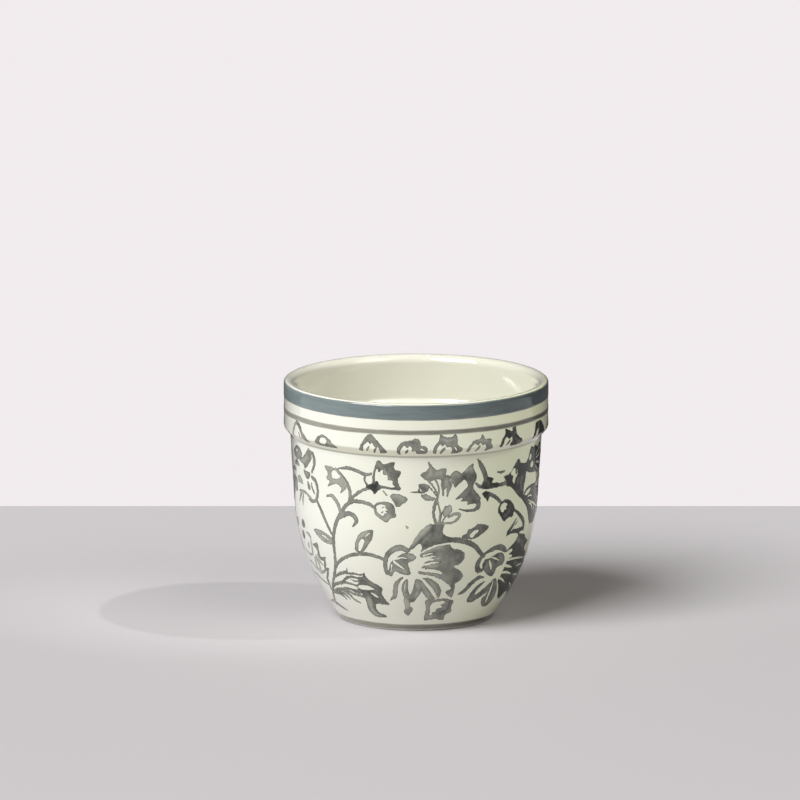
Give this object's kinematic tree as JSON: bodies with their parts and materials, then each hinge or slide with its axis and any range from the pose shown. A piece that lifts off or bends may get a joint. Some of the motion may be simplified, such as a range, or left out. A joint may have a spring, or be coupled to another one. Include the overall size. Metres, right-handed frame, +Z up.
{
  "type": "cachepot",
  "caption": "Round cachepot that tapers to a narrow foot, with a stepped collar, a rounded lip, a recessed underside and a painted floral scroll; open at the top, with no drain hole.",
  "frame": {"origin": "centre of the foot ring, on the plane that the pot stands on", "axes": "+Z up along the axis of the pot, -Y towards the viewer, +X to the viewer's right"},
  "size_m": [0.1502, 0.1502, 0.137],
  "materials": {
    "bare_clay": "bare fired stoneware, fine and matt",
    "ivory_glaze": "thick glossy ivory glaze",
    "blue_grey_enamel": "glossy blue-grey band",
    "olive_grey_enamel": "glossy olive-grey line",
    "grey_wash_enamel": "glossy grey brush-painted wash"
  },
  "bodies": {
    "root": {"clay_body": "bare_clay", "glaze_coat": "ivory_glaze", "underside_glaze": "ivory_glaze", "rim_band": "blue_grey_enamel", "collar_line": "olive_grey_enamel", "foot_line": "olive_grey_enamel", "collar_buds": "grey_wash_enamel", "blossoms": "grey_wash_enamel", "lilies": "grey_wash_enamel", "fringed_flowers": "grey_wash_enamel", "hanging_buds": "grey_wash_enamel", "leaves": "grey_wash_enamel", "long_leaves": "grey_wash_enamel", "stems": "grey_wash_enamel"}
  },
  "joints": []
}
